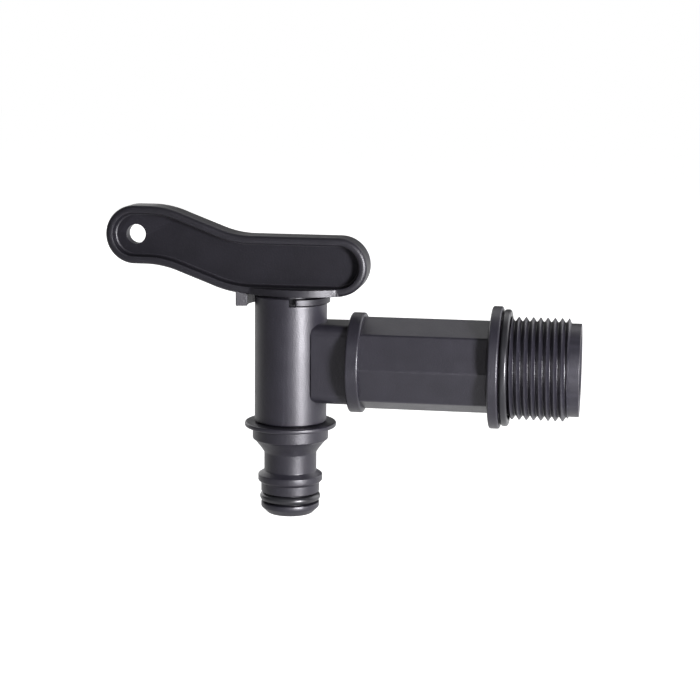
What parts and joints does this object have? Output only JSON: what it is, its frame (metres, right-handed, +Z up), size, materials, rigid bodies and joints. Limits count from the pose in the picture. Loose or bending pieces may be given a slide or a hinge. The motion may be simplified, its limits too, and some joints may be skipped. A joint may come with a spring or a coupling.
{
  "type": "tank lever tap",
  "caption": "Plastic lever tap for a liquid tank: male threaded inlet with octagonal grip, upright rotary plug body, S-shaped lever and quick-connect outlet nipple.",
  "frame": {"origin": "where the inlet axis meets the flange face that the inlet washer seats on", "axes": "+X along the inlet, out of the thread and into the tank; +Z up along the plug axis, away from the outlet; the lever points to -X at rest"},
  "size_m": [0.117, 0.0298, 0.0759],
  "materials": {
    "body_plastic": "satin moulded polypropylene, dark blue-grey",
    "lever_plastic": "semi-gloss moulded plastic, near black",
    "plug_plastic": "smooth moulded plastic",
    "rubber": "black nitrile rubber"
  },
  "bodies": {
    "tap_body": {"body": "body_plastic", "inlet_washer": "rubber", "seat_seal": "rubber", "outlet_nipple": "body_plastic", "nipple_oring": "rubber", "outlet_oring": "rubber"},
    "lever_and_plug": {"lever": "lever_plastic", "plug": "plug_plastic", "plug_oring_upper": "rubber", "plug_oring_lower": "rubber"}
  },
  "joints": [
    {"name": "lever_turn", "type": "hinge", "parent": "tap_body", "child": "lever_and_plug", "pos_m": [-0.0521, 0, 0], "axis": [0, 0, 1], "range_deg": [-8, 90]}
  ]
}
